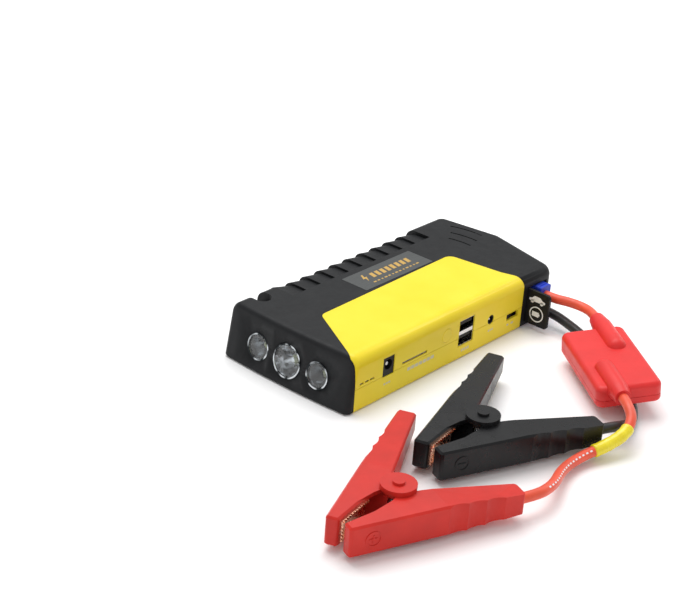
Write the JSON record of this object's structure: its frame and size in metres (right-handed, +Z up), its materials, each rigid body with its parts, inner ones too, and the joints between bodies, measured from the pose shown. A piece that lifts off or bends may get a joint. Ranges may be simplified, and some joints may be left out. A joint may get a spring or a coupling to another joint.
{
  "type": "jump starter pack",
  "caption": "Portable car jump starter: rounded battery case with torch end, side ports and hinged port flap, plugged into a short lead with inline module and sprung battery clamps.",
  "frame": {"origin": "middle of the battery case's flat underside, on the plane it stands on", "axes": "+X along the case from the torch end to the jump-port end, -Y out of the yellow port side, +Z up"},
  "size_m": [0.2868, 0.2122, 0.0322],
  "materials": {
    "case_black": "fine satin texture",
    "panel_yellow": "satin gloss",
    "label_grey": "fine brushed, anodised dark grey",
    "pad_rubber": "matte",
    "steel": "bright",
    "reflector": "vacuum-metallised",
    "lens_clear": "clear",
    "led_yellow": "phosphor dome",
    "circuit_board": "solder mask",
    "black_plastic": "moulded",
    "light_bar": "smoked translucent",
    "cell_foil": "foil pouch",
    "nickel": "plated",
    "copper": "bright copper",
    "brass_contact": "gold-coloured plating",
    "plug_blue": "moulded",
    "lead_red": "silicone insulation",
    "lead_black": "silicone insulation",
    "sleeve_yellow": "heat-shrink film",
    "module_red": "satin",
    "clamp_red": "satin",
    "clamp_black": "satin"
  },
  "bodies": {
    "pack": {"base_pads": "pad_rubber", "base_plate": "case_black", "battery_cells": "cell_foil", "black_cable_arm": "clamp_black", "black_cable_jaw": "copper", "black_cable_tail": "lead_black", "black_lead": "lead_black", "black_pivot_pin": "steel", "black_spring": "steel", "bus_bars": "copper", "button_board": "circuit_board", "case_screws": "steel", "cell_foam": "pad_rubber", "cell_tabs": "nickel", "dc_input_jack": "black_plastic", "dc_input_pin": "steel", "dc_output_jack": "black_plastic", "dc_output_pin": "steel", "flap_hinge_pin": "steel", "jump_plug": "plug_blue", "jump_socket": "plug_blue", "label_plate": "label_grey", "lead_sleeve": "sleeve_yellow", "level_light_bar": "light_bar", "main_board": "circuit_board", "mode_switch_body": "black_plastic", "module_board": "circuit_board", "module_lower_cover": "module_red", "module_relay": "black_plastic", "module_screws": "steel", "module_upper_cover": "module_red", "output_lights": "light_bar", "plug_contacts": "brass_contact", "red_cable_arm": "clamp_red", "red_cable_jaw": "copper", "red_cable_tail": "lead_red", "red_lead_in": "lead_red", "red_lead_out": "lead_red", "red_pivot_pin": "steel", "red_spring": "steel", "side_panel_lower": "panel_yellow", "side_panel_upper": "panel_yellow", "socket_contacts": "brass_contact", "torch_board": "circuit_board", "torch_leds": "led_yellow", "torch_lens_centre": "lens_clear", "torch_lenses_side": "lens_clear", "torch_reflector_centre": "reflector", "torch_reflectors_side": "reflector", "upper_case": "case_black", "usb_insert": "black_plastic", "usb_shell": "steel"},
    "button": {"power_button": "panel_yellow"},
    "switch_knob": {"mode_switch_knob": "black_plastic"},
    "flap": {"port_flap": "black_plastic"},
    "red_lever": {"red_lever_arm": "clamp_red", "red_lever_jaw": "copper"},
    "black_lever": {"black_lever_arm": "clamp_black", "black_lever_jaw": "copper"}
  },
  "joints": [
    {"name": "power_button_press", "type": "slide", "parent": "pack", "child": "button", "axis": [0, 1, 0], "range_m": [0, 0.0008], "stiffness_N_per_m": 600},
    {"name": "mode_switch_slide", "type": "slide", "parent": "pack", "child": "switch_knob", "axis": [1, 0, 0], "range_m": [0, 0.006]},
    {"name": "port_flap_hinge", "type": "hinge", "parent": "pack", "child": "flap", "pos_m": [0.0636, -0.0432, 0.0135], "axis": [0, 0, 1], "range_deg": [-10, 20]},
    {"name": "red_clamp_squeeze", "type": "hinge", "parent": "pack", "child": "red_lever", "pos_m": [-0.1473, -0.1231, 0.0105], "axis": [0, 0, -1], "range_deg": [0, 2.5], "stiffness_Nm_per_rad": 3, "springref_deg": -22.92, "deforming": ["red_spring"]},
    {"name": "black_clamp_squeeze", "type": "hinge", "parent": "pack", "child": "black_lever", "pos_m": [-0.0675, -0.1114, 0.0105], "axis": [0, 0, -1], "range_deg": [0, 3], "stiffness_Nm_per_rad": 3, "springref_deg": -22.92, "deforming": ["black_spring"]}
  ]
}
